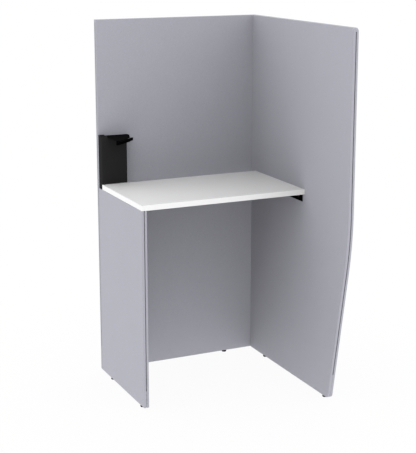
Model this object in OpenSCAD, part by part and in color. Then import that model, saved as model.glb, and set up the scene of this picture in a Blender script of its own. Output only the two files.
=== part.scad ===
// A standing booth desk. A tall back screen and a tall right screen shelter a desktop, whose left
// end lies on a low left screen. Every screen is a board core closed in by two routed half shells.
// Origin: middle of the footprint, on the floor. +X to the right, +Y to the back, +Z up. Millimetres.

/* [Booth] */
// Distance from the left screen's outer face to the right screen's inner face
booth_w = 900; // [700:10:1400]
// Height of the desktop's top face above the floor
desk_h = 1050; // [900:5:1150]
// Height of the two tall screens above the floor
screen_h = 1900; // [1700:10:2200]
// Depth of the right screen in front of the back screen
right_depth = 1030; // [900:10:1300]
// Gap between the floor and the lower edge of the screens
floor_gap = 10; // [10:1:16]

/* [Right screen outline] */
// Height at which the front edge turns back towards its foot
lean_h = 857; // [700:1:950]
// How far the foot of the front edge lies behind its top
lean_back = 159; // [60:1:220]
// Radius of the soft bend in the front edge
lean_r = 1700; // [200:50:1700]
// Radius of the right screen's two front corners
corner_r = 20; // [10:1:60]

/* [Screens] */
// Thickness of a screen
screen_t = 27; // [26:1:40]
// Wall of a half shell over the core
shell_wall = 6; // [5:0.5:8]
// Width of the rim round a half shell
rim_w = 9; // [9:0.5:14]
// Radius of the outer arris of a half shell
arris_r = 1.5; // [1:0.5:4]
// Chamfer where the two rims meet
seam_chamfer = 1; // [0.5:0.1:1.5]
// Radius of every other corner of a screen
square_r = 2; // [1:0.5:9]
// Width of the groove along the free upright edges
groove_w = 5; // [3:0.5:8]
// Depth of that groove
groove_d = 7; // [3:0.5:7]
// Depth of the shallow groove that runs on below it on the low screen
groove_foot_d = 2; // [1:0.5:3]
// Distance from the top of a tall screen to the upper end of its groove
groove_top_gap = 18; // [15:1:60]
// Height above the floor of the lower end of a tall screen's groove
groove_foot_tall = 142; // [60:1:300]
// Height above the floor of the lower end of the low screen's groove
groove_foot_low = 100; // [60:1:300]

/* [Desktop] */
// Thickness of the desktop's board
board_t = 25; // [18:1:30]
// Thickness of the laminate on each face of the board
laminate_t = 1; // [0.6:0.1:1.5]
// Thickness of the edge band
band_t = 2; // [1:0.5:3]
// Radius of the arrises of the edge band
band_r = 1.5; // [0.5:0.1:2]
// Depth of the desktop, front edge to back edge
desk_d = 549; // [450:1:650]
// Set-back of the desktop's left edge from the left screen's outer face
desk_inset = 0.5; // [0:0.5:10]
// Open gap for cables between the desktop and the back screen
cable_gap = 48; // [40:1:80]

/* [Support angles] */
// Leg of the angle under each end of the desktop
angle_leg = 40; // [30:1:50]
// Sheet thickness of the angle
angle_t = 3; // [2:0.5:4]
// Outer bend radius of the angle
angle_r = 5; // [4.5:0.5:8]
// Set-back of the angle's front end from the desktop's front edge
angle_front_gap = 17; // [5:1:60]
// Set-back of the angle's back end from the desktop's back edge
angle_back_gap = 12; // [5:1:60]
// Screws in each leg of an angle
angle_screw_count = 4; // [2:1:6]
// Distance from the angle's end to its first screw
angle_screw_end = 40; // [20:1:80]

/* [Corner riser] */
// Width of the riser along the back screen
riser_w = 142; // [125:1:180]
// Clear space between the riser and the desktop's back edge
riser_gap = 0.6; // [0.3:0.1:2]
// Height of the riser's rim above the desktop
riser_rise = 255; // [150:1:400]
// Sheet thickness of the riser
riser_sheet = 2; // [1.5:0.5:3]
// Outer bend radius of the riser
riser_r = 4; // [3.5:0.5:6]
// Width of the two rear flanges that the riser is screwed through
riser_flange = 36; // [30:1:45]

/* [Riser shelf] */
// Thickness of the shelf plate
plate_t = 3; // [2:0.5:4]
// How far the riser's rim stands above the shelf's top face
plate_drop = 5; // [4:0.5:10]
// Distance of the shelf's left edge from the riser's left face
plate_left = 33; // [24:1:40]
// Width of the shelf at the back screen
plate_w = 129; // [120:1:150]
// Distance from the back screen at which the shelf's right edge turns in
plate_bend = 32; // [28:1:60]
// Radius of that turn
plate_turn_r = 60; // [20:5:100]
// How far the shelf's right front corner lies beyond the middle of the rail
plate_tip = 54; // [48:1:60]
// Height of the two flanges that are folded down from the shelf
plate_flange = 18; // [16:1:30]

/* [Headset rail] */
// Distance of the middle of the rail's inner face from the riser's left face
rail_mid_x = 89; // [84:0.5:94]
// Distance of the middle of the rail's inner face from the back screen
rail_mid_d = 151.5; // [146:0.5:156]
// Angle of the rail to the back screen
rail_turn = 42; // [38:0.5:46]
// Length of the rail
rail_len = 168; // [150:1:180]
// Radius of the rail's gentle bow
rail_bow_r = 700; // [500:10:1000]
// Thickness of the rail
rail_t = 12; // [10:0.5:16]
// Height of the rail
rail_h = 15; // [13:1:20]
// How far the rail's top lies below the shelf's top face
rail_drop = 3; // [0:0.5:5]
// Length of the raised stop at the rail's left end
stop_len = 5; // [3:0.5:8]
// Height by which the stop stands above the rail
stop_h = 8; // [3:0.5:12]

/* [Levelling feet] */
// Radius of a foot's pad
pad_r = 13; // [9:0.5:14]
// Chamfer of the pad's arrises
pad_chamfer = 1; // [0.5:0.1:1.5]
// Radius of a foot's screw
stud_r = 4; // [3:0.5:5]
// Length of a foot's screw
stud_len = 32; // [30:1:36]
// Depth of the pad's socket for the screw
socket_d = 5; // [3:0.5:6]
// Wall of the threaded sleeve in the screen
sleeve_wall = 2; // [1.5:0.5:3]
// Length of the threaded sleeve inside the screen
sleeve_len = 26; // [24:1:36]
// Thickness of the sleeve's flange under the screen
flange_t = 1.5; // [1:0.5:2]
// Width of the sleeve's flange round the sleeve
flange_w = 3; // [2:0.5:5]
// Distance of the back screen's feet from the middle of the booth
back_foot_x = 275; // [200:1:400]
// Distance of the side screens' front feet from the front corner of the screen
side_foot_front = 50; // [35:1:120]
// Distance of the left screen's rear foot from the back screen
left_foot_rear = 128; // [60:1:200]
// Distance of the right screen's rear foot from the back screen
right_foot_rear = 163; // [60:1:250]

/* [Fasteners] */
// Radius of a wood screw's shank
screw_r = 2.2; // [1.5:0.1:2.5]
// Length of a wood screw under its head
screw_len = 16; // [14:1:20]
// Radius of a wood screw's head
head_r = 4.2; // [3.5:0.1:5]
// Height of a wood screw's head
head_h = 2.4; // [1.8:0.1:3]
// Radius of the socket in a screw's head
drive_r = 1.6; // [1:0.1:2]
// Radius of a connector bolt
bolt_r = 3; // [2.5:0.5:4]
// Radius of a connector bolt's flat head
bolt_head_r = 8; // [6.5:0.5:10]
// Thickness of a connector bolt's flat head
bolt_head_h = 2.5; // [2:0.5:3]
// Radius of the hexagon socket in a connector bolt's head
bolt_drive_r = 2.4; // [1.8:0.1:2.8]
// Length of a connector bolt under its head
bolt_len = 58; // [56:1:62]
// Length of the sleeve nut in a side screen
nut_len = 24; // [20:1:30]
// Wall of the sleeve nut
nut_wall = 2; // [1.5:0.5:3]
// Connector bolts between the back screen and the right screen
right_bolt_count = 4; // [2:1:6]
// Connector bolts between the back screen and the left screen
left_bolt_count = 3; // [2:1:4]
// Distance of the first and last connector bolt from a screen's ends
bolt_end = 130; // [60:5:200]

/* [Clearances] */
// Gap between the core and the rims round it
core_gap = 0.3; // [0.2:0.1:1]
// Radial clearance of a screw or bolt in its thread
thread_gap = 0.05; // [0.02:0.01:0.1]
// Radial clearance of a screw or bolt in a through hole
hole_gap = 0.4; // [0.3:0.1:1]
// Gap between two pieces that lie close but don't press on each other
free_gap = 0.3; // [0.2:0.1:0.5]

/* [Hidden] */

screen_grey = [0.70, 0.70, 0.74];
board_tan = [0.72, 0.62, 0.47];
white = [0.94, 0.94, 0.94];
black = [0.09, 0.09, 0.09];
zinc = [0.72, 0.73, 0.75];
cut = 1;
sharp_r = 0.5;
round_n = 48;
bow_n = 360;
hex_n = 6;
corner_n = 6;
lean_n = 12;

half_t = screen_t / 2;
cavity_d = half_t - shell_wall;
overall_w = booth_w + screen_t;
overall_d = right_depth + screen_t;
x_left = -overall_w / 2;
x_right = overall_w / 2;
x_desk_left = x_left + desk_inset;
x_desk_end = x_left + booth_w;
desk_w = x_desk_end - x_desk_left;
y_wall = overall_d / 2 - screen_t;
y_back_mid = y_wall + half_t;

top_t = board_t + 2 * laminate_t;
desk_under = desk_h - top_t;
y_desk_back = y_wall - cable_gap;
y_desk_front = y_desk_back - desk_d;
left_depth = cable_gap + desk_d;
x_leg_left = x_left + screen_t;

riser_d = cable_gap - riser_gap;
riser_top = desk_h + riser_rise;
plate_top = riser_top - plate_drop;
plate_under = plate_top - plate_t;

sleeve_r = stud_r + thread_gap + sleeve_wall;
pad_h = floor_gap - flange_t - free_gap;
nut_r = bolt_r + thread_gap + nut_wall;

// Corners of each screen's outline as [along, up, radius, arc steps], anticlockwise. A side screen
// is drawn forward from the back screen, the back screen along X.
back_corners = [
    [x_left, floor_gap, square_r, corner_n],
    [x_right, floor_gap, square_r, corner_n],
    [x_right, screen_h, square_r, corner_n],
    [x_left, screen_h, square_r, corner_n]
];
right_corners = [
    [0, floor_gap, square_r, corner_n],
    [right_depth - lean_back, floor_gap, corner_r, corner_n],
    [right_depth, lean_h, lean_r, lean_n],
    [right_depth, screen_h, corner_r, corner_n],
    [0, screen_h, square_r, corner_n]
];
left_corners = [
    [0, floor_gap, square_r, corner_n],
    [left_depth, floor_gap, square_r, corner_n],
    [left_depth, desk_under, square_r, corner_n],
    [0, desk_under, square_r, corner_n]
];

// Geometry of a rounded outline. Every corner turns to the left, and an inset outline has as many
// points as the full one, so that outlines of different insets can be skinned together.
function unit(v) = v / norm(v);
function left_of(v) = [-v[1], v[0]];
function xy(c) = [c[0], c[1]];
function edge_dir(c, i) = unit(xy(c[(i + 1) % len(c)]) - xy(c[(i + len(c)) % len(c)]));
function corner_at(c, i, inset) =
    let(n1 = left_of(edge_dir(c, i - 1)), n2 = left_of(edge_dir(c, i)))
    xy(c[i]) + inset * (n1 + n2) / (1 + n1 * n2);
function corner_arc(c, i, inset) =
    let(d1 = edge_dir(c, i - 1), d2 = edge_dir(c, i), turn = acos(d1 * d2),
        r = max(c[i][2] - inset, sharp_r),
        start = corner_at(c, i, inset) - d1 * r * tan(turn / 2),
        mid = start + left_of(d1) * r, steps = c[i][3])
    [for (k = [0:steps])
        let(a = turn * k / steps)
        mid - r * (left_of(d1) * cos(a) - d1 * sin(a))];
function outline(c, inset) = [for (i = [0:len(c) - 1]) each corner_arc(c, i, inset)];
function spread(a, b, n) = [for (i = [0:n - 1]) a + (b - a) * i / (n - 1)];

// Solid of a half shell without its hollow: outlines stacked from the seam, at 0, to the face.
module half_slab(corners) {
    arris = [for (a = [0:18:90])
        [arris_r * (1 - cos(a)), half_t - arris_r + arris_r * sin(a)]];
    levels = concat([[seam_chamfer, 0], [0, seam_chamfer]], arris);
    n = len(outline(corners, 0));
    last = len(levels) - 1;
    points = [for (l = levels) each [for (p = outline(corners, l[0])) [p[0], p[1], l[1]]]];
    sides = [for (k = [0:last - 1], i = [0:n - 1])
        let(a = k * n + i, b = k * n + (i + 1) % n)
        each [[a, a + n, b + n], [a, b + n, b]]];
    seam = [for (i = [0:n - 1]) i];
    face = [for (i = [n - 1:-1:0]) last * n + i];
    polyhedron(points = points, faces = concat([seam], sides, [face]));
}

// A routed half shell: a hollow for the core, and grooves cut into the rim of its free edges. Each
// groove is [from, to, foot, top, depth] along and up the screen.
module half_shell(corners, grooves) {
    difference() {
        half_slab(corners);
        translate([0, 0, -cut])
            linear_extrude(height = cavity_d + cut)
                polygon(outline(corners, rim_w));
        for (g = grooves)
            translate([0, 0, -cut])
                linear_extrude(height = groove_w / 2 + cut)
                    difference() {
                        translate([g[0], g[2]])
                            square([g[1] - g[0], g[3] - g[2]]);
                        polygon(outline(corners, g[4]));
                    }
    }
}

module core_board(corners) {
    translate([0, 0, -cavity_d])
        linear_extrude(height = 2 * cavity_d)
            polygon(outline(corners, rim_w + core_gap));
}

// Frames that stand a drawn outline up: along the back screen, or forward along a side screen.
module on_back() {
    translate([0, y_back_mid, 0])
        rotate([90, 0, 0])
            children();
}

module on_right() {
    translate([x_right - half_t, y_wall, 0])
        rotate([90, 0, -90])
            children();
}

module on_left() {
    translate([x_left + half_t, y_wall, 0])
        rotate([90, 0, -90])
            children();
}

module other_half() {
    mirror([0, 0, 1])
        children();
}

tall_top = screen_h - groove_top_gap;
back_grooves = [
    [x_left - cut, x_left + rim_w, groove_foot_tall, tall_top, groove_d],
    [x_right - rim_w, x_right + cut, groove_foot_tall, tall_top, groove_d]
];
right_grooves = [[right_depth / 2, right_depth + cut, groove_foot_tall, tall_top, groove_d]];
left_grooves = [
    [left_depth - rim_w, left_depth + cut, groove_foot_low, desk_under + cut, groove_d],
    [left_depth - rim_w, left_depth + cut, floor_gap - cut, groove_foot_low + cut, groove_foot_d]
];

// Where things are fastened.
foot_back = [[-back_foot_x, y_back_mid], [back_foot_x, y_back_mid]];
foot_left = [
    [x_left + half_t, y_wall - left_foot_rear],
    [x_left + half_t, y_wall - left_depth + side_foot_front]
];
foot_right = [
    [x_right - half_t, y_wall - right_foot_rear],
    [x_right - half_t, y_wall - right_depth + lean_back + side_foot_front]
];
right_bolt_z = spread(floor_gap + bolt_end, screen_h - bolt_end, right_bolt_count);
left_bolt_z = spread(floor_gap + bolt_end, desk_under - bolt_end, left_bolt_count);
angle_front = y_desk_front + angle_front_gap;
angle_back = y_desk_back - angle_back_gap;
angle_screw_y = spread(angle_front + angle_screw_end, angle_back - angle_screw_end, angle_screw_count);
angle_screw_z = desk_under - angle_leg / 2 - angle_t / 2;
angle_screw_in = angle_leg / 2 + angle_t / 2;
riser_screw_x = [riser_flange / 2 + riser_sheet / 2, riser_w - riser_flange / 2 - riser_sheet / 2];
riser_screw_z = [desk_h + riser_rise / 4, desk_h + riser_rise * 3 / 4];
rail_top = plate_top - rail_drop;
rail_screw_u = rail_len / 4;
rail_screw_z = rail_top - rail_h / 2;
tab_left = riser_flange + plate_flange;
tab_right = riser_w - riser_flange - plate_flange / 2;
tab_z = plate_under - plate_flange;
tab_screw_x = [tab_left + (tab_right - tab_left) / 4, tab_left + (tab_right - tab_left) * 3 / 4];
tab_screw_z = tab_z + plate_flange / 2;

// Places its children with +Z along the foot screws, at the floor.
module at(spots) {
    for (p = spots)
        translate([p[0], p[1], 0])
            children();
}

// Places its children at the connector bolts, +Z pointing forward, 0 on the back screen's front face.
module at_connectors() {
    for (z = right_bolt_z)
        translate([x_right - half_t, y_wall, z])
            rotate([90, 0, 0])
                children();
    for (z = left_bolt_z)
        translate([x_left + half_t, y_wall, z])
            rotate([90, 0, 0])
                children();
}

// Places its children where a support angle is screwed to its screen, +Z into the screen, 0 on the
// screen's face. Side is 1 for the right screen, -1 for the left one.
module at_angle_screen(side) {
    for (y = angle_screw_y)
        translate([side > 0 ? x_desk_end : x_leg_left, y, angle_screw_z])
            rotate([0, 90 * side, 0])
                children();
}

// Places its children where a support angle is screwed to the desktop, +Z up, 0 on the underside.
module at_angle_desktop(side) {
    for (y = angle_screw_y)
        translate([side > 0 ? x_desk_end - angle_screw_in : x_leg_left + angle_screw_in, y, desk_under])
            children();
}

// Places its children at screws into the back screen, +Z into the screen, 0 on its front face.
module at_wall(xs, zs) {
    for (x = xs, z = zs)
        translate([x_left + x, y_wall, z])
            rotate([-90, 0, 0])
                children();
}

module at_riser_screws() {
    at_wall(riser_screw_x, riser_screw_z)
        children();
}

module at_shelf_screws() {
    at_wall(tab_screw_x, [tab_screw_z])
        children();
}

// A screw along +Z with the seat of its head and its point at the given heights.
module screw_body(seat, point) {
    dome = head_h / 3;
    tip = 2 * screw_r;
    difference() {
        rotate_extrude($fn = round_n)
            polygon([
                [0, seat - head_h],
                [head_r - 2 * dome, seat - head_h],
                [head_r, seat - head_h + 2 * dome],
                [head_r, seat],
                [screw_r, seat],
                [screw_r, point - tip],
                [0, point]
            ]);
        translate([0, 0, seat - head_h - cut])
            cylinder(r = drive_r, h = head_h / 2 + cut, $fn = hex_n);
    }
}

// A wood screw with its head on a sheet of the given thickness, whose far face is at 0.
module wood_screw(sheet) {
    screw_body(-sheet, screw_len - sheet);
}

module screw_pilot() {
    translate([0, 0, -cut])
        cylinder(r = screw_r + thread_gap, h = screw_len + cut, $fn = round_n);
}

module screw_hole(sheet) {
    translate([0, 0, -sheet - cut])
        cylinder(r = screw_r + hole_gap, h = sheet + 2 * cut, $fn = round_n);
}

// A keyhole: the riser goes over the screw's head at its round lower end, then drops on the shank.
module keyhole(sheet) {
    fall = 3 * head_r;
    slot_r = screw_r + hole_gap;
    screw_hole(sheet);
    translate([-slot_r, 0, -sheet - cut])
        cube([2 * slot_r, fall, sheet + 2 * cut]);
    translate([0, fall, -sheet - cut])
        cylinder(r = head_r + hole_gap, h = sheet + 2 * cut, $fn = round_n);
}

// Holes that several pieces of a screen share.
module foot_holes(spots) {
    at(spots)
        cylinder(r = sleeve_r + thread_gap, h = floor_gap + sleeve_len + cut, $fn = round_n);
}

module connector_holes() {
    at_connectors()
        translate([0, 0, -screen_t - cut])
            cylinder(r = bolt_r + hole_gap, h = screen_t + rim_w + core_gap + 2 * cut, $fn = round_n);
}

module nut_holes() {
    at_connectors()
        translate([0, 0, rim_w])
            cylinder(r = nut_r + thread_gap, h = nut_len + 2 * cut, $fn = round_n);
    at_connectors()
        translate([0, 0, rim_w])
            cylinder(r = bolt_r + hole_gap, h = bolt_len - screen_t, $fn = round_n);
}

// Back screen.
module back_core() {
    color(board_tan)
        difference() {
            on_back()
                core_board(back_corners);
            foot_holes(foot_back);
            connector_holes();
            at_riser_screws()
                screw_pilot();
            at_shelf_screws()
                screw_pilot();
        }
}

module back_front_shell() {
    color(screen_grey)
        difference() {
            on_back()
                half_shell(back_corners, back_grooves);
            foot_holes(foot_back);
            connector_holes();
            at_riser_screws()
                screw_pilot();
            at_shelf_screws()
                screw_pilot();
        }
}

module back_rear_shell() {
    color(screen_grey)
        difference() {
            on_back()
                other_half()
                    half_shell(back_corners, back_grooves);
            foot_holes(foot_back);
            connector_holes();
            at_connectors()
                translate([0, 0, -screen_t - cut])
                    cylinder(r = bolt_head_r + hole_gap, h = bolt_head_h + cut, $fn = round_n);
        }
}

// Right screen.
module right_core() {
    color(board_tan)
        difference() {
            on_right()
                core_board(right_corners);
            foot_holes(foot_right);
            nut_holes();
            at_angle_screen(1)
                screw_pilot();
        }
}

module right_inner_shell() {
    color(screen_grey)
        difference() {
            on_right()
                half_shell(right_corners, right_grooves);
            foot_holes(foot_right);
            connector_holes();
            at_angle_screen(1)
                screw_pilot();
        }
}

module right_outer_shell() {
    color(screen_grey)
        difference() {
            on_right()
                other_half()
                    half_shell(right_corners, right_grooves);
            foot_holes(foot_right);
            connector_holes();
        }
}

// Left screen.
module left_core() {
    color(board_tan)
        difference() {
            on_left()
                core_board(left_corners);
            foot_holes(foot_left);
            nut_holes();
            at_angle_screen(-1)
                screw_pilot();
        }
}

module left_inner_shell() {
    color(screen_grey)
        difference() {
            on_left()
                other_half()
                    half_shell(left_corners, left_grooves);
            foot_holes(foot_left);
            connector_holes();
            at_angle_screen(-1)
                screw_pilot();
        }
}

module left_outer_shell() {
    color(screen_grey)
        difference() {
            on_left()
                half_shell(left_corners, left_grooves);
            foot_holes(foot_left);
            connector_holes();
        }
}

// Desktop: a board with laminate on both faces, edged all round.
module desktop_sheet(bottom, thickness) {
    translate([x_desk_left + band_t, y_desk_front + band_t, bottom])
        cube([desk_w - 2 * band_t, desk_d - 2 * band_t, thickness]);
}

module desktop_pilots() {
    for (side = [-1, 1])
        at_angle_desktop(side)
            screw_pilot();
}

module desktop_board() {
    color(board_tan)
        difference() {
            desktop_sheet(desk_under + laminate_t, board_t);
            desktop_pilots();
        }
}

module desktop_top_laminate() {
    color(white)
        desktop_sheet(desk_h - laminate_t, laminate_t);
}

module desktop_under_laminate() {
    color(white)
        difference() {
            desktop_sheet(desk_under, laminate_t);
            desktop_pilots();
        }
}

// An edge band along +X from 0, its outer face at y = 0 and its back at y = band_t.
module edge_band(length) {
    reach = 2 * band_r + band_t;
    corners = [
        [0, 0, band_r, corner_n],
        [reach, 0, band_r, corner_n],
        [reach, top_t, band_r, corner_n],
        [0, top_t, band_r, corner_n]
    ];
    translate([0, 0, desk_under])
        rotate([90, 0, 90])
            linear_extrude(height = length)
                intersection() {
                    polygon(outline(corners, 0));
                    square([band_t, top_t]);
                }
}

module front_edge_band() {
    color(white)
        translate([x_desk_left, y_desk_front, 0])
            edge_band(desk_w);
}

module back_edge_band() {
    color(white)
        translate([x_desk_end, y_desk_back, 0])
            rotate([0, 0, 180])
                edge_band(desk_w);
}

module left_edge_band() {
    color(white)
        translate([x_desk_left, y_desk_back - band_t, 0])
            rotate([0, 0, -90])
                edge_band(desk_d - 2 * band_t);
}

module right_edge_band() {
    color(white)
        translate([x_desk_end, y_desk_front + band_t, 0])
            rotate([0, 0, 90])
                edge_band(desk_d - 2 * band_t);
}

// Support angle, drawn for the right screen: one leg on the screen, one under the desktop.
module support_angle() {
    translate([x_desk_end, angle_front, desk_under])
        rotate([90, 0, 180])
            linear_extrude(height = angle_back - angle_front)
                difference() {
                    polygon(outline([
                        [0, -angle_leg, sharp_r, 1],
                        [angle_leg, -angle_leg, sharp_r, 1],
                        [angle_leg, 0, sharp_r, 1],
                        [0, 0, angle_r, corner_n]
                    ], 0));
                    polygon(outline([
                        [angle_t, -angle_leg - angle_r, sharp_r, 1],
                        [angle_leg + angle_r, -angle_leg - angle_r, sharp_r, 1],
                        [angle_leg + angle_r, -angle_t, sharp_r, 1],
                        [angle_t, -angle_t, angle_r - angle_t, corner_n]
                    ], 0));
                }
}

module right_support_angle() {
    color(black)
        difference() {
            support_angle();
            at_angle_screen(1)
                screw_hole(angle_t);
            at_angle_desktop(1)
                screw_hole(angle_t);
        }
}

module left_support_angle() {
    color(black)
        difference() {
            translate([x_leg_left + x_desk_end, 0, 0])
                mirror([1, 0, 0])
                    support_angle();
            at_angle_screen(-1)
                screw_hole(angle_t);
            at_angle_desktop(-1)
                screw_hole(angle_t);
        }
}

module angle_screen_screws() {
    color(black)
        for (side = [-1, 1])
            at_angle_screen(side)
                wood_screw(angle_t);
}

module angle_desktop_screws() {
    color(black)
        for (side = [-1, 1])
            at_angle_desktop(side)
                wood_screw(angle_t);
}

// Corner riser: a folded channel, open at its top and bottom, that brings cables up to the shelf.
module riser_section() {
    corners = [
        [0, -riser_d, riser_r, corner_n],
        [riser_w, -riser_d, riser_r, corner_n],
        [riser_w, 0, riser_r, corner_n],
        [0, 0, riser_r, corner_n]
    ];
    difference() {
        polygon(outline(corners, 0));
        polygon(outline(corners, riser_sheet));
        translate([riser_flange, -riser_d / 2])
            square([riser_w - 2 * riser_flange, riser_d]);
    }
}

module corner_riser() {
    color(black)
        difference() {
            translate([x_left, y_wall, desk_under])
                linear_extrude(height = riser_top - desk_under)
                    riser_section();
            translate([x_left + plate_left - free_gap, y_wall - riser_d - cut, plate_under])
                cube([riser_w, riser_d + 2 * cut, plate_t + plate_drop + cut]);
            at_riser_screws()
                keyhole(riser_sheet);
        }
}

// Places its children at the middle of the rail's inner face, +X along the rail, +Y to the shelf.
module at_rail() {
    translate([x_left + rail_mid_x, y_wall - rail_mid_d, 0])
        rotate([0, 0, rail_turn])
            children();
}

// A bowed strip that follows the rail, from the inner to the outer radius of its bow, between two
// places along the rail.
module bowed_strip(inner_r, outer_r, from, to, bottom, height) {
    translate([0, 0, bottom])
        intersection() {
            translate([from, -rail_bow_r / 2, 0])
                cube([to - from, rail_bow_r, height]);
            translate([0, rail_bow_r, 0])
                difference() {
                    cylinder(r = outer_r, h = height, $fn = bow_n);
                    translate([0, 0, -cut])
                        cylinder(r = inner_r, h = height + 2 * cut, $fn = bow_n);
                }
        }
}

// Places its children at the rail's screws, +Z into the rail, 0 on its inner face.
module at_rail_screws() {
    turn = asin(rail_screw_u / rail_bow_r);
    at_rail()
        for (a = [-turn, turn])
            translate([0, rail_bow_r, 0])
                rotate([0, 0, a])
                    translate([0, -rail_bow_r, rail_screw_z])
                        rotate([90, 0, 0])
                            children();
}

// Riser shelf: a plate on the cut-down rim, with a tab folded down on the back screen and a flange
// folded down along its slanted, slightly bowed front, which carries the rail.
plate_front = rail_t / 4;
tip_x = rail_mid_x + plate_tip * cos(rail_turn) + plate_front * sin(rail_turn);
tip_y = -rail_mid_d + plate_tip * sin(rail_turn) - plate_front * cos(rail_turn);
shelf_corners = [
    [plate_left, tip_y - (tip_x - plate_left) * tan(rail_turn), sharp_r, corner_n],
    [tip_x, tip_y, sharp_r, corner_n],
    [plate_left + plate_w, -plate_bend, plate_turn_r, lean_n],
    [plate_left + plate_w, 0, 3 * plate_t, corner_n],
    [plate_left, 0, sharp_r, corner_n]
];

module riser_shelf() {
    flange_from = (plate_left - rail_mid_x) / cos(rail_turn) + plate_flange / 2;
    flange_to = plate_tip - plate_flange / 2;
    color(black)
        difference() {
            union() {
                intersection() {
                    translate([x_left, y_wall, plate_under])
                        linear_extrude(height = plate_t)
                            polygon(outline(shelf_corners, 0));
                    at_rail()
                        translate([0, rail_bow_r, plate_under - cut])
                            cylinder(r = rail_bow_r, h = plate_t + 2 * cut, $fn = bow_n);
                }
                translate([x_left + tab_left, y_wall - plate_t, tab_z])
                    cube([tab_right - tab_left, plate_t, plate_flange + plate_t / 2]);
                at_rail()
                    bowed_strip(rail_bow_r - plate_t, rail_bow_r, flange_from, flange_to,
                        plate_top - plate_flange, plate_flange - plate_t / 2);
            }
            at_shelf_screws()
                screw_hole(plate_t);
            at_rail_screws()
                screw_hole(plate_t);
        }
}

// Headset rail: a bowed bar with a raised stop at its left end.
module headset_rail() {
    color(black)
        difference() {
            at_rail() {
                bowed_strip(rail_bow_r, rail_bow_r + rail_t, -rail_len / 2, rail_len / 2,
                    rail_top - rail_h, rail_h);
                bowed_strip(rail_bow_r, rail_bow_r + rail_t, -rail_len / 2, stop_len - rail_len / 2,
                    rail_top - rail_h, rail_h + stop_h);
            }
            at_rail_screws()
                translate([0, 0, -cut])
                    cylinder(r = screw_r + thread_gap, h = rail_t * 3 / 4 + cut, $fn = round_n);
        }
}

module riser_screws() {
    color(black)
        at_riser_screws()
            wood_screw(riser_sheet);
}

module shelf_screws() {
    color(black)
        at_shelf_screws()
            wood_screw(plate_t);
}

module rail_screws() {
    color(black)
        at_rail_screws()
            screw_body(-plate_t - thread_gap, rail_t * 3 / 4 - free_gap);
}

// Connector bolts and their sleeve nuts.
module connector_bolts() {
    color(black)
        at_connectors()
            translate([0, 0, -screen_t])
                difference() {
                    union() {
                        cylinder(r = bolt_head_r, h = bolt_head_h, $fn = round_n);
                        translate([0, 0, bolt_head_h / 2])
                            cylinder(r = bolt_r, h = bolt_len, $fn = round_n);
                    }
                    translate([0, 0, -cut])
                        cylinder(r = bolt_drive_r, h = bolt_head_h + cut, $fn = hex_n);
                }
}

module connector_nuts() {
    color(zinc)
        at_connectors()
            translate([0, 0, rim_w + core_gap])
                difference() {
                    cylinder(r = nut_r, h = nut_len, $fn = round_n);
                    translate([0, 0, -cut])
                        cylinder(r = bolt_r + thread_gap, h = nut_len + 2 * cut, $fn = round_n);
                }
}

// Levelling feet.
module foot_sleeves() {
    color(black)
        at(concat(foot_back, foot_left, foot_right))
            translate([0, 0, floor_gap])
                difference() {
                    union() {
                        cylinder(r = sleeve_r, h = sleeve_len, $fn = round_n);
                        translate([0, 0, -flange_t])
                            cylinder(r = sleeve_r + flange_w, h = flange_t, $fn = round_n);
                    }
                    translate([0, 0, -flange_t - cut])
                        cylinder(r = stud_r + thread_gap, h = sleeve_len + flange_t + 2 * cut, $fn = round_n);
                }
}

module foot_pad(spot) {
    color(black)
        at([spot])
            difference() {
                rotate_extrude($fn = round_n)
                    polygon([
                        [0, 0],
                        [pad_r - pad_chamfer, 0],
                        [pad_r, pad_chamfer],
                        [pad_r, pad_h - pad_chamfer],
                        [pad_r - pad_chamfer, pad_h],
                        [0, pad_h]
                    ]);
                translate([0, 0, pad_h - socket_d])
                    cylinder(r = stud_r + thread_gap, h = socket_d + cut, $fn = round_n);
            }
}

module foot_stud(spot) {
    color(black)
        at([spot])
            translate([0, 0, pad_h - socket_d])
                cylinder(r = stud_r, h = stud_len, $fn = round_n);
}

back_core();
back_front_shell();
back_rear_shell();
right_core();
right_inner_shell();
right_outer_shell();
left_core();
left_inner_shell();
left_outer_shell();
desktop_board();
desktop_top_laminate();
desktop_under_laminate();
front_edge_band();
back_edge_band();
left_edge_band();
right_edge_band();
right_support_angle();
left_support_angle();
angle_screen_screws();
angle_desktop_screws();
corner_riser();
riser_shelf();
headset_rail();
riser_screws();
shelf_screws();
rail_screws();
connector_bolts();
connector_nuts();
foot_sleeves();
foot_pad(foot_back[0]);  // pad_back_left
foot_pad(foot_back[1]);  // pad_back_right
foot_pad(foot_left[0]);  // pad_left_rear
foot_pad(foot_left[1]);  // pad_left_front
foot_pad(foot_right[0]);  // pad_right_rear
foot_pad(foot_right[1]);  // pad_right_front
foot_stud(foot_back[0]);  // stud_back_left
foot_stud(foot_back[1]);  // stud_back_right
foot_stud(foot_left[0]);  // stud_left_rear
foot_stud(foot_left[1]);  // stud_left_front
foot_stud(foot_right[0]);  // stud_right_rear
foot_stud(foot_right[1]);  // stud_right_front
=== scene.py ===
import math

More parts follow.
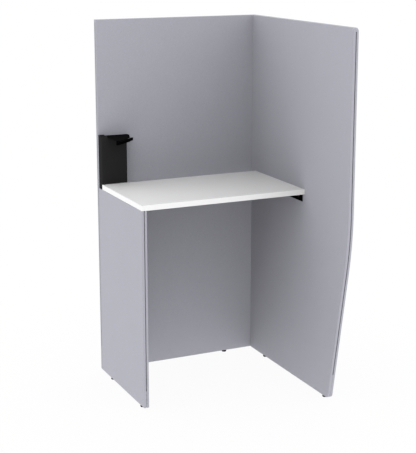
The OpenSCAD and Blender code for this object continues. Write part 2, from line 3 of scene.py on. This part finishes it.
import bmesh
import bpy
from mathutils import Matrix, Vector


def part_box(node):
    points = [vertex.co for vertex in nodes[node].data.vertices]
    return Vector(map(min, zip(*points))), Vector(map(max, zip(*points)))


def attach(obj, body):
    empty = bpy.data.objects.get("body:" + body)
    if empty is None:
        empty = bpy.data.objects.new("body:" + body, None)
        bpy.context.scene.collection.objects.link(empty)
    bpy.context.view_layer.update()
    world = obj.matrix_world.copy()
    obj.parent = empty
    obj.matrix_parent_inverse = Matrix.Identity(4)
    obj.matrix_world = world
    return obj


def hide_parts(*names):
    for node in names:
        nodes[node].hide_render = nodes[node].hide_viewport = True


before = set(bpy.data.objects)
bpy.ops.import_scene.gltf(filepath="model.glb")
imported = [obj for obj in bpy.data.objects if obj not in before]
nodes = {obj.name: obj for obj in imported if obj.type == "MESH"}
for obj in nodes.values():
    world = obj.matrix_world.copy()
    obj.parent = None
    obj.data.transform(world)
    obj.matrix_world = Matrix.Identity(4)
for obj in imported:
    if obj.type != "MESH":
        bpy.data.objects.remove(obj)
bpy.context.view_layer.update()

# Camera. It stands to the left of the booth's open front, at the height of the tall screens'
# upper third, and looks a little down with a long lens, so that upright edges stay near upright.
camera_data = bpy.data.cameras.new("camera")
camera_data.sensor_width = 36
camera_data.lens = 93.98
camera_data.shift_x = -0.00505
camera_data.shift_y = -0.04727
camera = bpy.data.objects.new("camera", camera_data)
camera.location = (-2.52326, -5.25627, 2.32081)
camera.rotation_euler = (math.radians(77.14), 0, math.radians(-25.17))
bpy.context.scene.collection.objects.link(camera)
bpy.context.scene.camera = camera

# Studio. A white room lights the booth evenly from all sides, its floor too, and a weak soft lamp
# hangs overhead. The room's light counts where it falls straight on the booth, not where the booth
# throws it back, so the corners stay deep. The camera, gloss and glass see the room plain white.
scene = bpy.context.scene
scene.view_settings.view_transform = "Standard"
world = bpy.data.worlds.new("studio")
world.use_nodes = True
scene.world = world
tree = world.node_tree
tree.nodes.clear()
path = tree.nodes.new("ShaderNodeLightPath")
straight_on = tree.nodes.new("ShaderNodeMath")
straight_on.operation = "LESS_THAN"
straight_on.inputs[1].default_value = 1.5
room_level = tree.nodes.new("ShaderNodeMath")
room_level.operation = "MULTIPLY"
room_level.inputs[1].default_value = 1.02
room = tree.nodes.new("ShaderNodeBackground")
room.inputs["Color"].default_value = (1, 1, 1, 1)
backdrop = tree.nodes.new("ShaderNodeBackground")
backdrop.inputs["Color"].default_value = (1, 1, 1, 1)
backdrop.inputs["Strength"].default_value = 1
seen = tree.nodes.new("ShaderNodeMath")
seen.operation = "MAXIMUM"
seen_too = tree.nodes.new("ShaderNodeMath")
seen_too.operation = "MAXIMUM"
mix = tree.nodes.new("ShaderNodeMixShader")
out = tree.nodes.new("ShaderNodeOutputWorld")
tree.links.new(path.outputs["Diffuse Depth"], straight_on.inputs[0])
tree.links.new(straight_on.outputs[0], room_level.inputs[0])
tree.links.new(room_level.outputs[0], room.inputs["Strength"])
tree.links.new(path.outputs["Is Camera Ray"], seen.inputs[0])
tree.links.new(path.outputs["Is Glossy Ray"], seen.inputs[1])
tree.links.new(seen.outputs[0], seen_too.inputs[0])
tree.links.new(path.outputs["Is Transmission Ray"], seen_too.inputs[1])
tree.links.new(seen_too.outputs[0], mix.inputs["Fac"])
tree.links.new(room.outputs[0], mix.inputs[1])
tree.links.new(backdrop.outputs[0], mix.inputs[2])
tree.links.new(mix.outputs[0], out.inputs["Surface"])

lamp_data = bpy.data.lights.new("overhead_lamp", "AREA")
lamp_data.shape = "SQUARE"
lamp_data.size = 3.0
lamp_data.energy = 12
lamp = bpy.data.objects.new("overhead_lamp", lamp_data)
lamp.location = (-0.6, -0.6, 4.6)
lamp.rotation_euler = (math.radians(-11), math.radians(-9.5), 0)
scene.collection.objects.link(lamp)

# Studio floor. The camera sees it white, with the booth's soft shadow, which fades out away from
# the booth. The light that comes up through it is the room's.
floor_reach = 9
floor_z = -0.0004
floor_mesh = bpy.data.meshes.new("studio_floor")
floor_mesh.from_pydata(
    [(x * floor_reach, y * floor_reach, floor_z) for x, y in ((-1, -1), (1, -1), (1, 1), (-1, 1))],
    [],
    [(0, 1, 2, 3)],
)
floor = bpy.data.objects.new("studio_floor", floor_mesh)
scene.collection.objects.link(floor)
floor_paint = bpy.data.materials.new("studio_floor")
floor_paint.use_nodes = True
tree = floor_paint.node_tree
tree.nodes.clear()
where = tree.nodes.new("ShaderNodeTexCoord")
distance = tree.nodes.new("ShaderNodeVectorMath")
distance.operation = "LENGTH"
white_share = tree.nodes.new("ShaderNodeMapRange")
white_share.interpolation_type = "SMOOTHSTEP"
white_share.inputs["From Min"].default_value = 0.6
white_share.inputs["From Max"].default_value = 2.0
white_share.inputs["To Min"].default_value = 0.955
white_share.inputs["To Max"].default_value = 1.0
matt = tree.nodes.new("ShaderNodeBsdfDiffuse")
matt.inputs["Color"].default_value = (0.9, 0.9, 0.9, 1)
glow = tree.nodes.new("ShaderNodeEmission")
glow.inputs["Color"].default_value = (1, 1, 1, 1)
glow.inputs["Strength"].default_value = 1
seen_floor = tree.nodes.new("ShaderNodeMixShader")
open_floor = tree.nodes.new("ShaderNodeBsdfTransparent")
path = tree.nodes.new("ShaderNodeLightPath")
mix = tree.nodes.new("ShaderNodeMixShader")
out = tree.nodes.new("ShaderNodeOutputMaterial")
tree.links.new(where.outputs["Object"], distance.inputs[0])
tree.links.new(distance.outputs["Value"], white_share.inputs["Value"])
tree.links.new(white_share.outputs["Result"], seen_floor.inputs["Fac"])
tree.links.new(matt.outputs[0], seen_floor.inputs[1])
tree.links.new(glow.outputs[0], seen_floor.inputs[2])
tree.links.new(path.outputs["Is Camera Ray"], mix.inputs["Fac"])
tree.links.new(open_floor.outputs[0], mix.inputs[1])
tree.links.new(seen_floor.outputs[0], mix.inputs[2])
tree.links.new(mix.outputs[0], out.inputs["Surface"])
floor_mesh.materials.append(floor_paint)

# The screens. Each is a particle board core between two half shells, covered with light
# bluish-grey cloth that is drawn tight over the arrises and tucked into the seam between them.


def add_socket(group, name, kind, way, value=None):
    socket = group.interface.new_socket(name=name, in_out=way, socket_type=kind)
    if value is not None:
        socket.default_value = value
    return socket


def math_node(tree, operation, a, b=None):
    """One sum of two values, each a number or an output."""
    node = tree.nodes.new("ShaderNodeMath")
    node.operation = operation
    for slot, value in enumerate((a, b)):
        if value is None:
            continue
        if isinstance(value, (int, float)):
            node.inputs[slot].default_value = value
        else:
            tree.links.new(value, node.inputs[slot])
    return node.outputs[0]


def noise_node(tree, vector, scale, detail=2.0, roughness=0.5):
    """Noise with the given scale, which is a number or an output."""
    node = tree.nodes.new("ShaderNodeTexNoise")
    node.inputs["Detail"].default_value = detail
    node.inputs["Roughness"].default_value = roughness
    if isinstance(scale, (int, float)):
        node.inputs["Scale"].default_value = scale
    else:
        tree.links.new(scale, node.inputs["Scale"])
    tree.links.new(vector, node.inputs["Vector"])
    return node.outputs["Fac"]


def mix_colours(tree, factor, a, b):
    """The colour a where the factor is 0, b where it is 1."""
    node = tree.nodes.new("ShaderNodeMix")
    node.data_type = "RGBA"
    for name, value in (("Factor", factor), ("A", a), ("B", b)):
        socket = next(s for s in node.inputs if s.name == name and s.enabled)
        if isinstance(value, (int, float, tuple)):
            socket.default_value = value
        else:
            tree.links.new(value, socket)
    return next(s for s in node.outputs if s.enabled)


# A plain weave: warp and weft yarns pass over and under each other in turn. Each yarn bulges
# where it lies on top and is spun of mixed greys; its colour is painted a little darker in the
# hollows between, as painted shade.
weave = bpy.data.node_groups.new("cloth_weave", "ShaderNodeTree")
add_socket(weave, "Vector", "NodeSocketVector", "INPUT")
add_socket(weave, "Yarn Width", "NodeSocketFloat", "INPUT", 0.0015)
add_socket(weave, "Light Yarn", "NodeSocketColor", "INPUT")
add_socket(weave, "Dark Yarn", "NodeSocketColor", "INPUT")
add_socket(weave, "Colour", "NodeSocketColor", "OUTPUT")
add_socket(weave, "Height", "NodeSocketFloat", "OUTPUT")
given = weave.nodes.new("NodeGroupInput")
result = weave.nodes.new("NodeGroupOutput")
axes = weave.nodes.new("ShaderNodeSeparateXYZ")
weave.links.new(given.outputs["Vector"], axes.inputs[0])
across = math_node(weave, "ADD", axes.outputs["X"], axes.outputs["Y"])
turn = math_node(weave, "DIVIDE", math.pi, given.outputs["Yarn Width"])
warp = math_node(weave, "SINE", math_node(weave, "MULTIPLY", across, turn))
weft = math_node(weave, "SINE", math_node(weave, "MULTIPLY", axes.outputs["Z"], turn))
bulge = math_node(weave, "ABSOLUTE", math_node(weave, "MULTIPLY", warp, weft))
on_top = math_node(weave, "SIGN", math_node(weave, "MULTIPLY", warp, weft))
fibre = noise_node(weave, given.outputs["Vector"], scale=1500.0, detail=3.0, roughness=0.6)
slub = noise_node(weave, given.outputs["Vector"], scale=160.0)
cloud = noise_node(weave, given.outputs["Vector"], scale=5.0, detail=3.0, roughness=0.55)
fibre_lift = 0.35
height = math_node(weave, "ADD", bulge, math_node(weave, "MULTIPLY", fibre, fibre_lift))
# The bulge's share of the tone paints shade into the hollows between the yarns.
tone_shares = ((bulge, 0.38), (fibre, 0.34), (slub, 0.34), (cloud, 0.08), (on_top, 0.06))
tones = [math_node(weave, "MULTIPLY", part, share) for part, share in tone_shares]
tone = tones[0]
for more in tones[1:]:
    tone = math_node(weave, "ADD", tone, more)
shade = mix_colours(weave, tone, given.outputs["Dark Yarn"], given.outputs["Light Yarn"])
weave.links.new(shade, result.inputs["Colour"])
weave.links.new(height, result.inputs["Height"])


def new_material(name, roughness, metallic=0.0):
    """A finish, its shader, and the place on the object that its pattern follows."""
    material = bpy.data.materials.new(name)
    material.use_nodes = True
    shader = material.node_tree.nodes["Principled BSDF"]
    shader.inputs["Roughness"].default_value = roughness
    shader.inputs["Metallic"].default_value = metallic
    where = material.node_tree.nodes.new("ShaderNodeTexCoord")
    return material, shader, where.outputs["Object"]


def bump(material, shader, height, distance, strength=1.0):
    """Make the height, which runs from 0 to 1, stand out by the distance in metres."""
    node = material.node_tree.nodes.new("ShaderNodeBump")
    node.inputs["Strength"].default_value = strength
    node.inputs["Distance"].default_value = distance
    material.node_tree.links.new(height, node.inputs["Height"])
    material.node_tree.links.new(node.outputs["Normal"], shader.inputs["Normal"])


def paint(node_name, material):
    """Give the part's own piece one finish."""
    mesh = nodes[node_name].data
    mesh.materials.clear()
    mesh.materials.append(material)


yarn_width = 0.0015
cloth, shader, place = new_material("bluish_grey_cloth", roughness=0.9)
threads = cloth.node_tree.nodes.new("ShaderNodeGroup")
threads.node_tree = weave
threads.inputs["Yarn Width"].default_value = yarn_width
threads.inputs["Light Yarn"].default_value = (0.560, 0.560, 0.630, 1)
threads.inputs["Dark Yarn"].default_value = (0.320, 0.320, 0.364, 1)
cloth.node_tree.links.new(place, threads.inputs["Vector"])
cloth.node_tree.links.new(threads.outputs["Colour"], shader.inputs["Base Color"])
shader.inputs["Specular IOR Level"].default_value = 0.25
shader.inputs["Sheen Weight"].default_value = 0.05
shader.inputs["Sheen Roughness"].default_value = 0.6
bump(cloth, shader, threads.outputs["Height"], distance=0.0003, strength=0.6)

dark_chip, light_chip = (0.30, 0.20, 0.11, 1), (0.62, 0.48, 0.32, 1)
board, shader, place = new_material("particle_board", roughness=0.85)
chips = noise_node(board.node_tree, place, scale=260.0, detail=4.0, roughness=0.7)
colour = mix_colours(board.node_tree, chips, dark_chip, light_chip)
board.node_tree.links.new(colour, shader.inputs["Base Color"])
bump(board, shader, chips, distance=0.0003)

for screen in ("back", "right", "left"):
    paint(screen + "_core", board)
for shell in (
    "back_front_shell",
    "back_rear_shell",
    "right_inner_shell",
    "right_outer_shell",
    "left_inner_shell",
    "left_outer_shell",
):
    paint(shell, cloth)

# The desktop. Particle board with white laminate pressed on both faces, and a white plastic band
# glued round its edges and trimmed to small arrises.

# A fine grain: one small-scale noise gives a finish its height, and its tone between two colours.
grain = bpy.data.node_groups.new("fine_grain", "ShaderNodeTree")
add_socket(grain, "Vector", "NodeSocketVector", "INPUT")
add_socket(grain, "Scale", "NodeSocketFloat", "INPUT", 500.0)
add_socket(grain, "Dark Tone", "NodeSocketColor", "INPUT")
add_socket(grain, "Light Tone", "NodeSocketColor", "INPUT")
add_socket(grain, "Colour", "NodeSocketColor", "OUTPUT")
add_socket(grain, "Height", "NodeSocketFloat", "OUTPUT")
given = grain.nodes.new("NodeGroupInput")
result = grain.nodes.new("NodeGroupOutput")
speck = noise_node(grain, given.outputs["Vector"], given.outputs["Scale"])
shade = mix_colours(grain, speck, given.outputs["Dark Tone"], given.outputs["Light Tone"])
grain.links.new(shade, result.inputs["Colour"])
grain.links.new(speck, result.inputs["Height"])


def grey(level):
    return (level, level, level, 1)


def grained(name, dark, light, scale, depth, strength, roughness, metallic=0.0, specular=None):
    """A finish with the fine grain in it, between a dark and a light colour."""
    material, shader, place = new_material(name, roughness, metallic)
    specks = material.node_tree.nodes.new("ShaderNodeGroup")
    specks.node_tree = grain
    specks.inputs["Scale"].default_value = scale
    specks.inputs["Dark Tone"].default_value = dark
    specks.inputs["Light Tone"].default_value = light
    material.node_tree.links.new(place, specks.inputs["Vector"])
    material.node_tree.links.new(specks.outputs["Colour"], shader.inputs["Base Color"])
    if specular is not None:
        shader.inputs["Specular IOR Level"].default_value = specular
    bump(material, shader, specks.outputs["Height"], depth, strength)
    return material


laminate = grained(
    "white_laminate",
    dark=grey(0.90),
    light=grey(0.95),
    scale=700.0,
    depth=0.00008,
    strength=0.4,
    roughness=0.42,
)
# The band's colour is its own white plastic, painted a little lighter than the laminate as painted
# light on the desk's edges.
band = grained(
    "white_edge_band",
    dark=grey(0.94),
    light=grey(0.98),
    scale=400.0,
    depth=0.00006,
    strength=0.3,
    roughness=0.35,
)
paint("desktop_board", board)
paint("desktop_top_laminate", laminate)
paint("desktop_under_laminate", laminate)
for side in ("front", "back", "left", "right"):
    paint(side + "_edge_band", band)

# Corner riser. A channel folded from steel sheet, with a fine-grained, quite matt black powder
# coat. It hangs by keyholes in its two rear flanges on screws in the back screen.
powder = grained(
    "black_powder_coat",
    dark=grey(0.023),
    light=grey(0.033),
    scale=1400.0,
    depth=0.00006,
    strength=0.5,
    roughness=0.7,
    specular=0.0,
)
paint("corner_riser", powder)

# Riser shelf and support angles. The same folded sheet, screwed to the screens and, by the angles,
# to the desktop. It has the riser's black coat, drawn dead-flat, with its colour painted darker as
# painted shade; the angles are painted darker still, as deeper painted shade.
for coat_name, dark, light, sheets in (
    ("flat_black_coat", 0.006, 0.010, ("riser_shelf",)),
    ("dead_flat_black_coat", 0.002, 0.003, ("right_support_angle", "left_support_angle")),
):
    # Both colours are the riser's black, painted darker as painted shade.
    coat = grained(
        coat_name,
        dark=grey(dark),
        light=grey(light),
        scale=1100.0,
        depth=0.00006,
        strength=0.5,
        roughness=0.9,
        specular=0.0,
    )
    for sheet in sheets:
        paint(sheet, coat)

# Headset rail. A moulded bar with rounded edges that follows the bow of the shelf's front, with a
# raised stop at its left end, so that a headset's band can't slide off. It is screwed on from
# behind, through the shelf's flange.
plastic = grained(
    "moulded_black_plastic",
    dark=grey(0.001),
    light=grey(0.002),
    scale=900.0,
    depth=0.00008,
    strength=0.5,
    roughness=0.55,
    specular=0.005,
)


def new_tool(name, inputs):
    """An empty geometry tool: its tree, the outputs of its input node, and a call that ends it."""
    tool = bpy.data.node_groups.new(name, "GeometryNodeTree")
    add_socket(tool, "Geometry", "NodeSocketGeometry", "INPUT")
    for label, kind, value in inputs:
        add_socket(tool, label, kind, "INPUT", value)
    add_socket(tool, "Finish", "NodeSocketMaterial", "INPUT")
    add_socket(tool, "Geometry", "NodeSocketGeometry", "OUTPUT")
    given = tool.nodes.new("NodeGroupInput").outputs

    def end(*shapes):
        join = tool.nodes.new("GeometryNodeJoinGeometry")
        realize = tool.nodes.new("GeometryNodeRealizeInstances")
        finish = tool.nodes.new("GeometryNodeSetMaterial")
        result = tool.nodes.new("NodeGroupOutput")
        for shape in shapes:
            tool.links.new(shape, join.inputs[0])
        tool.links.new(join.outputs[0], realize.inputs[0])
        tool.links.new(realize.outputs[0], finish.inputs["Geometry"])
        tool.links.new(given["Finish"], finish.inputs["Material"])
        tool.links.new(finish.outputs[0], result.inputs[0])

    return tool, given, end


def set_inputs(tool, node, **values):
    """Set a node's inputs by name, each to a number or from an output."""
    for label, value in values.items():
        socket = node.inputs[label.replace("_", " ")]
        if isinstance(value, bpy.types.NodeSocket):
            tool.links.new(value, socket)
        else:
            socket.default_value = value
    return node


def make_piece(name, tool, mesh=None, **values):
    """A plain mesh object that the tool makes, with hard edges kept and round ones smoothed."""
    piece = bpy.data.objects.new(name, mesh or bpy.data.meshes.new(name))
    piece.data.materials.append(values["Finish"])
    scene.collection.objects.link(piece)
    modifier = piece.modifiers.new(tool.name, "NODES")
    modifier.node_group = tool
    for item in tool.interface.items_tree:
        label = item.name.replace(" ", "_")
        if item.in_out == "INPUT" and label in values:
            modifier[item.identifier] = values[label]
    shown = piece.evaluated_get(bpy.context.evaluated_depsgraph_get())
    made = bpy.data.meshes.new_from_object(shown)
    piece.modifiers.clear()
    piece.data = made
    made.name = name
    made.shade_smooth()
    made.set_sharp_from_angle(angle=math.radians(35))
    return piece


def swept_bar(tool, given, sweep, height, middle):
    """A bar with rounded edges along an arc that lies level, its section upright."""
    arc = tool.nodes.new("GeometryNodeCurveArc")
    start, bow_radius = given["Start"], given["Bow Radius"]
    set_inputs(tool, arc, Resolution=40, Radius=bow_radius, Start_Angle=start, Sweep_Angle=sweep)
    upright = tool.nodes.new("GeometryNodeSetCurveNormal")
    upright.mode = "Z_UP"
    tool.links.new(arc.outputs["Curve"], upright.inputs["Curve"])
    section = tool.nodes.new("GeometryNodeCurvePrimitiveQuadrilateral")
    set_inputs(tool, section, Width=given["Thickness"], Height=height)
    rounded = tool.nodes.new("GeometryNodeFilletCurve")
    rounded.mode = "POLY"
    set_inputs(tool, rounded, Curve=section.outputs[0], Radius=given["Edge Radius"], Count=6)
    skin = tool.nodes.new("GeometryNodeCurveToMesh")
    set_inputs(
        tool, skin, Curve=upright.outputs[0], Profile_Curve=rounded.outputs[0], Fill_Caps=True
    )
    put = tool.nodes.new("GeometryNodeTransform")
    set_inputs(tool, put, Geometry=skin.outputs[0], Translation=middle)
    return put.outputs[0]


rail_tool, given, end = new_tool(
    "moulded_rail",
    (
        ("Bow Middle", "NodeSocketVector", (0, 0, 0)),
        ("Stop Middle", "NodeSocketVector", (0, 0, 0)),
        ("Bow Radius", "NodeSocketFloat", 0.706),
        ("Start", "NodeSocketFloat", 0),
        ("Sweep", "NodeSocketFloat", 0.2),
        ("Stop Sweep", "NodeSocketFloat", 0.01),
        ("Thickness", "NodeSocketFloat", 0.012),
        ("Height", "NodeSocketFloat", 0.015),
        ("Stop Height", "NodeSocketFloat", 0.023),
        ("Edge Radius", "NodeSocketFloat", 0.002),
    ),
)
bar = swept_bar(rail_tool, given, given["Sweep"], given["Height"], given["Bow Middle"])
stop = swept_bar(rail_tool, given, given["Stop Sweep"], given["Stop Height"], given["Stop Middle"])
end(bar, stop)

rail_turn = math.radians(42)
rail_spot = (-0.3745, 0.35)
rail_bow = 0.7
rail_half = 0.084
rail_t = 0.012
rail_h = 0.015
rail_edge_r = 0.0022
rail_top = 1.297
rail_low = rail_top - rail_h
stop_len = 0.005
stop_h = 0.008
mid_bow = rail_bow + rail_t / 2
bow_x = rail_spot[0] - rail_bow * math.sin(rail_turn)
bow_y = rail_spot[1] + rail_bow * math.cos(rail_turn)
half_sweep = math.asin(rail_half / (rail_bow + rail_t))
rail = make_piece(
    "moulded_headset_rail",
    rail_tool,
    Bow_Middle=(bow_x, bow_y, rail_low + rail_h / 2),
    Stop_Middle=(bow_x, bow_y, rail_low + (rail_h + stop_h) / 2),
    Bow_Radius=mid_bow,
    Start=rail_turn - math.pi / 2 - half_sweep,
    Sweep=2 * half_sweep,
    Stop_Sweep=stop_len / mid_bow,
    Thickness=rail_t,
    Height=rail_h,
    Stop_Height=rail_h + stop_h,
    Edge_Radius=rail_edge_r,
    Finish=plastic,
)
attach(rail, "root")
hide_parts("headset_rail")

# Foot pads. Each levelling foot ends in a moulded pad with grip ribs round it, so that it can be
# turned by hand. Its raised rim stands round the flange of the moulded sleeve in the screen.
paint("foot_sleeves", plastic)
feet = ("back_left", "back_right", "left_rear", "left_front", "right_rear", "right_front")


def turned(name, profile, centre, steps):
    """A closed turned mesh from a profile of (radius, height) points, in metres, bottom to top."""
    shape = bmesh.new()
    rings = []
    for radius, height in profile:
        ring = []
        for step in range(steps):
            angle = math.tau * step / steps
            x = centre[0] + radius * math.cos(angle)
            y = centre[1] + radius * math.sin(angle)
            ring.append(shape.verts.new((x, y, height)))
        rings.append(ring)
    for lower, upper in zip(rings, rings[1:]):
        for step in range(steps):
            after = (step + 1) % steps
            shape.faces.new((lower[step], lower[after], upper[after], upper[step]))
    shape.faces.new(list(reversed(rings[0])))
    shape.faces.new(rings[-1])
    mesh = bpy.data.meshes.new(name)
    shape.to_mesh(mesh)
    shape.free()
    return mesh


rib_tool, given, end = new_tool(
    "grip_ribs",
    (
        ("Middle", "NodeSocketVector", (0, 0, 0)),
        ("Rib Count", "NodeSocketInt", 30),
        ("Rib Radius", "NodeSocketFloat", 0.0007),
        ("Rib Height", "NodeSocketFloat", 0.0055),
        ("Ring Radius", "NodeSocketFloat", 0.0123),
    ),
)
ring = rib_tool.nodes.new("GeometryNodeMeshCircle")
set_inputs(rib_tool, ring, Vertices=given["Rib Count"], Radius=given["Ring Radius"])
rib = rib_tool.nodes.new("GeometryNodeMeshCylinder")
set_inputs(rib_tool, rib, Vertices=8, Radius=given["Rib Radius"], Depth=given["Rib Height"])
ribs = rib_tool.nodes.new("GeometryNodeInstanceOnPoints")
set_inputs(rib_tool, ribs, Points=ring.outputs["Mesh"], Instance=rib.outputs["Mesh"])
put = rib_tool.nodes.new("GeometryNodeTransform")
set_inputs(rib_tool, put, Geometry=ribs.outputs[0], Translation=given["Middle"])
end(given["Geometry"], put.outputs[0])

rib_r = 0.0007
rib_inset = 0.0013
rim_rise = 0.0013
rim_w = 0.0020
dish_depth = 0.0016
hub_r = 0.0062
foot_spots = {}
for foot in feet:
    low_corner, high_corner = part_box("pad_" + foot)
    spot = [(low_corner[axis] + high_corner[axis]) / 2 for axis in range(3)]
    foot_spots[foot] = spot
    pad_r = (high_corner[0] - low_corner[0]) / 2
    pad_top = high_corner[2]
    body_r = pad_r - rib_r / 2
    rim_top = pad_top + rim_rise
    # From the sole up the side, over the rounded rim, down into the dish, and up the hub.
    profile = (
        (body_r - 0.0011, 0),
        (body_r - 0.0003, 0.0004),
        (body_r, 0.0012),
        (body_r, rim_top - 0.0010),
        (body_r - 0.0003, rim_top - 0.0003),
        (body_r - 0.0009, rim_top),
        (body_r - 0.0016, rim_top - 0.0002),
        (body_r - rim_w, rim_top - 0.0010),
        (body_r - rim_w - 0.0003, pad_top - dish_depth),
        (hub_r, pad_top - dish_depth),
        (hub_r - 0.0004, pad_top - 0.0004),
        (hub_r - 0.0010, pad_top),
    )
    name = "ribbed_pad_" + foot
    pad = make_piece(
        name,
        rib_tool,
        turned(name, profile, spot, steps=72),
        Middle=(spot[0], spot[1], rim_top / 2),
        Rib_Radius=rib_r,
        Rib_Height=rim_top - 2 * rib_inset,
        Ring_Radius=pad_r - rib_r,
        Finish=plastic,
    )
    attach(pad, "foot_" + foot)
    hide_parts("pad_" + foot)

# Screws, bolts, nuts and the feet's threaded rods: blackened steel where they can be seen, zinc
# plate on the sleeve nuts inside the screens. The rods carry a rolled metric thread.
zinc = grained(
    "zinc_plated_steel",
    dark=(0.50, 0.51, 0.53, 1),
    light=(0.66, 0.67, 0.69, 1),
    scale=500.0,
    depth=0.00004,
    strength=0.4,
    roughness=0.4,
    metallic=1.0,
)
blackened = grained(
    "blackened_steel",
    dark=grey(0.010),
    light=grey(0.020),
    scale=500.0,
    depth=0.00004,
    strength=0.4,
    roughness=0.5,
    specular=0.15,
)

paint("connector_nuts", zinc)
for piece in (
    "angle_screen_screws",
    "angle_desktop_screws",
    "riser_screws",
    "shelf_screws",
    "rail_screws",
    "connector_bolts",
):
    paint(piece, blackened)

thread_tool, given, end = new_tool(
    "threaded_rod",
    (
        ("Foot", "NodeSocketVector", (0, 0, 0)),
        ("Length", "NodeSocketFloat", 0.032),
        ("Pitch", "NodeSocketFloat", 0.00125),
        ("Core Radius", "NodeSocketFloat", 0.0034),
        ("Ridge Radius", "NodeSocketFloat", 0.00058),
    ),
)
half_length = math_node(thread_tool, "MULTIPLY", given["Length"], 0.5)
rise = math_node(thread_tool, "SUBTRACT", given["Length"], given["Pitch"])
middle = thread_tool.nodes.new("ShaderNodeCombineXYZ")
set_inputs(thread_tool, middle, Z=half_length)
core = thread_tool.nodes.new("GeometryNodeMeshCylinder")
set_inputs(thread_tool, core, Vertices=32, Radius=given["Core Radius"], Depth=given["Length"])
core_up = thread_tool.nodes.new("GeometryNodeTransform")
set_inputs(thread_tool, core_up, Geometry=core.outputs["Mesh"], Translation=middle.outputs[0])
first_turn = thread_tool.nodes.new("ShaderNodeCombineXYZ")
set_inputs(thread_tool, first_turn, Z=math_node(thread_tool, "MULTIPLY", given["Pitch"], 0.5))
helix = thread_tool.nodes.new("GeometryNodeCurveSpiral")
set_inputs(
    thread_tool,
    helix,
    Resolution=20,
    Rotations=math_node(thread_tool, "DIVIDE", rise, given["Pitch"]),
    Start_Radius=given["Core Radius"],
    End_Radius=given["Core Radius"],
    Height=rise,
)
upright = thread_tool.nodes.new("GeometryNodeSetCurveNormal")
upright.mode = "Z_UP"
set_inputs(thread_tool, upright, Curve=helix.outputs[0])
ridge = thread_tool.nodes.new("GeometryNodeCurvePrimitiveCircle")
set_inputs(thread_tool, ridge, Resolution=4, Radius=given["Ridge Radius"])
thread = thread_tool.nodes.new("GeometryNodeCurveToMesh")
set_inputs(
    thread_tool,
    thread,
    Curve=upright.outputs[0],
    Profile_Curve=ridge.outputs[0],
    Fill_Caps=True,
)
thread_up = thread_tool.nodes.new("GeometryNodeTransform")
set_inputs(thread_tool, thread_up, Geometry=thread.outputs[0], Translation=first_turn.outputs[0])
both = thread_tool.nodes.new("GeometryNodeJoinGeometry")
thread_tool.links.new(core_up.outputs[0], both.inputs[0])
thread_tool.links.new(thread_up.outputs[0], both.inputs[0])
put = thread_tool.nodes.new("GeometryNodeTransform")
set_inputs(thread_tool, put, Geometry=both.outputs[0], Translation=given["Foot"])
end(put.outputs[0])

thread_h = 0.0006
for foot in feet:
    low_corner, high_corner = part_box("stud_" + foot)
    spot = foot_spots[foot]
    rod_r = (high_corner[0] - low_corner[0]) / 2
    rod = make_piece(
        "threaded_rod_" + foot,
        thread_tool,
        Foot=(spot[0], spot[1], low_corner[2]),
        Length=high_corner[2] - low_corner[2],
        Core_Radius=rod_r - thread_h,
        Finish=blackened,
    )
    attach(rod, "foot_" + foot)
    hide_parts("stud_" + foot)
